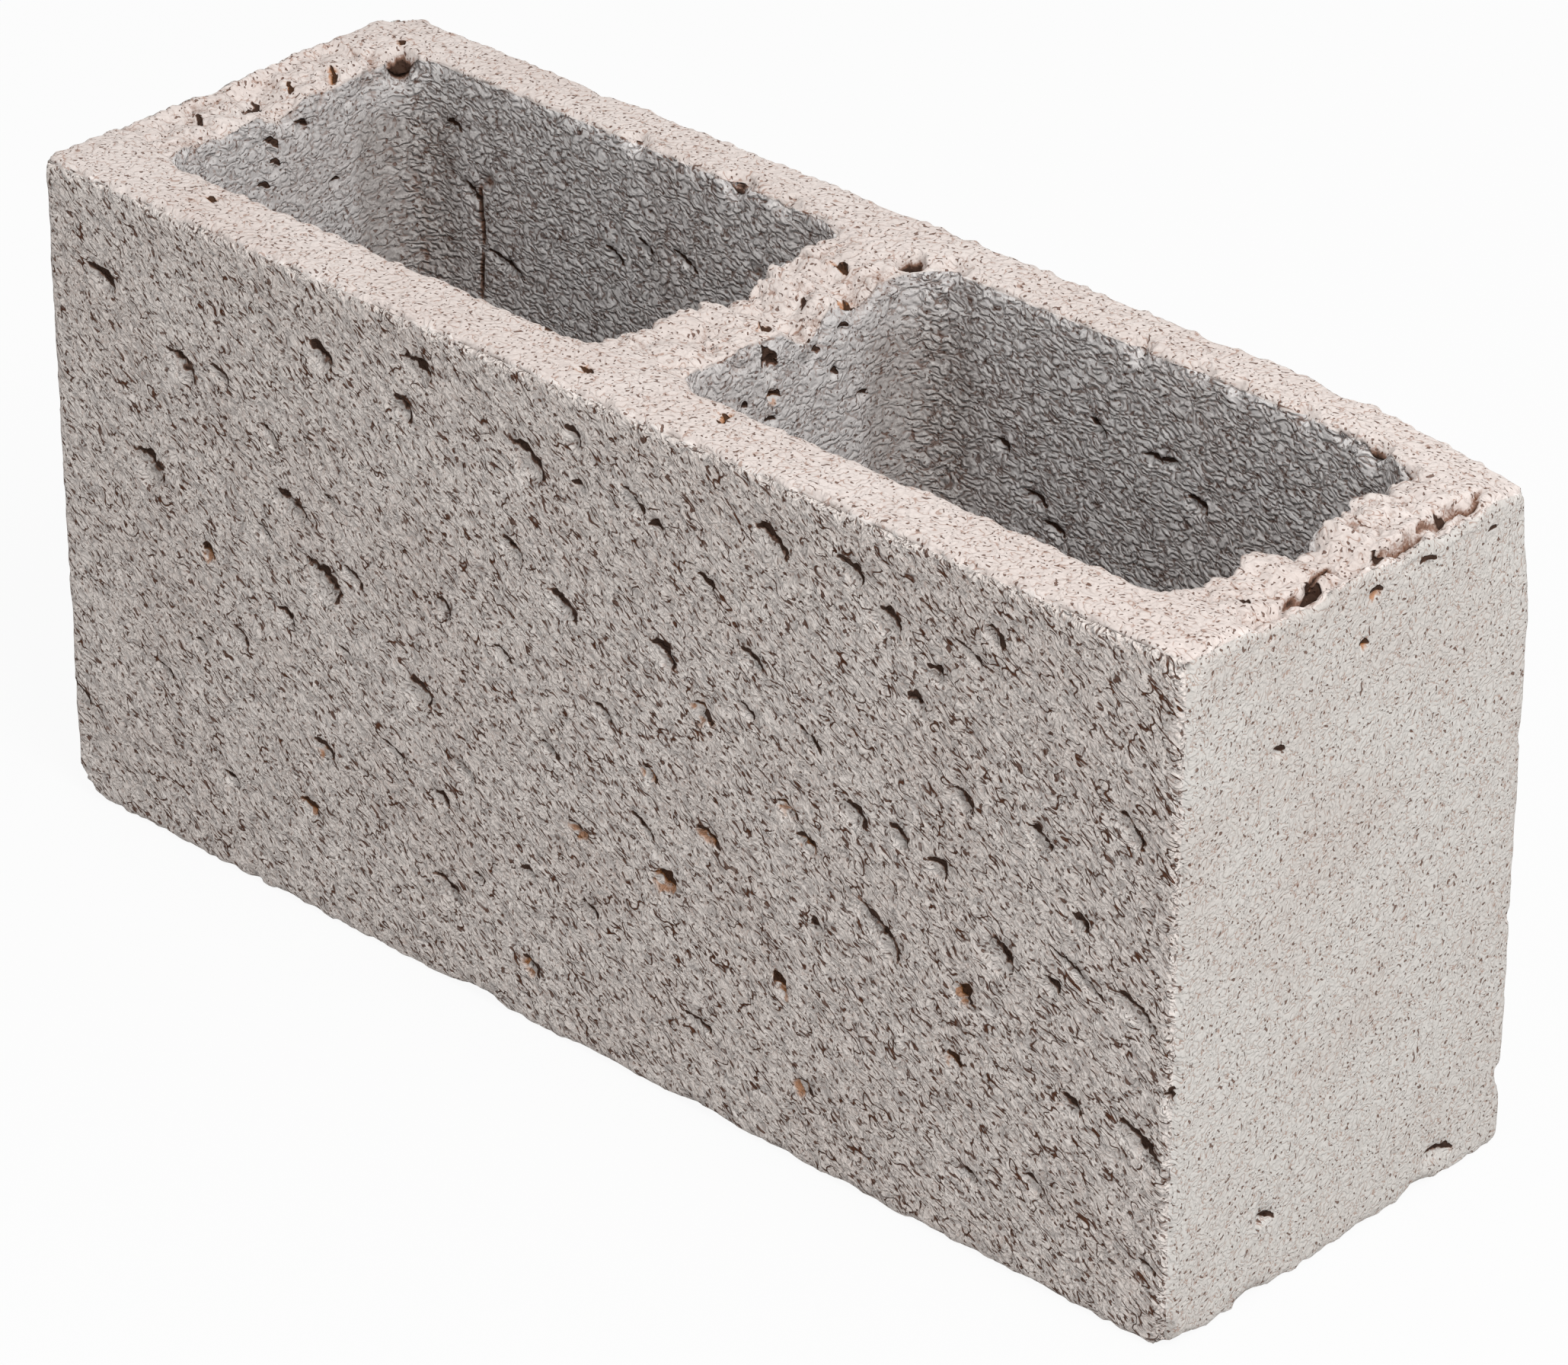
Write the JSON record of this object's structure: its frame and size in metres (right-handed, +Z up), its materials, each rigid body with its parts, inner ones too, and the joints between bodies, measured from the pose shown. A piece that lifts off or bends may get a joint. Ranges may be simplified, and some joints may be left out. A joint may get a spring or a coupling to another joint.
{
  "type": "concrete block",
  "caption": "Hollow rectangular concrete masonry block with tapered open cells running through its height and a core-bar groove across the tops of its webs.",
  "frame": {"origin": "middle of the bottom bed face, which stands on the floor", "axes": "+X along the block's length, +Y across its width from the front shell to the back shell, +Z up through the cells"},
  "size_m": [0.39, 0.13, 0.19],
  "materials": {
    "concrete": "matte"
  },
  "bodies": {
    "root": {"concrete_block": "concrete"}
  },
  "joints": []
}
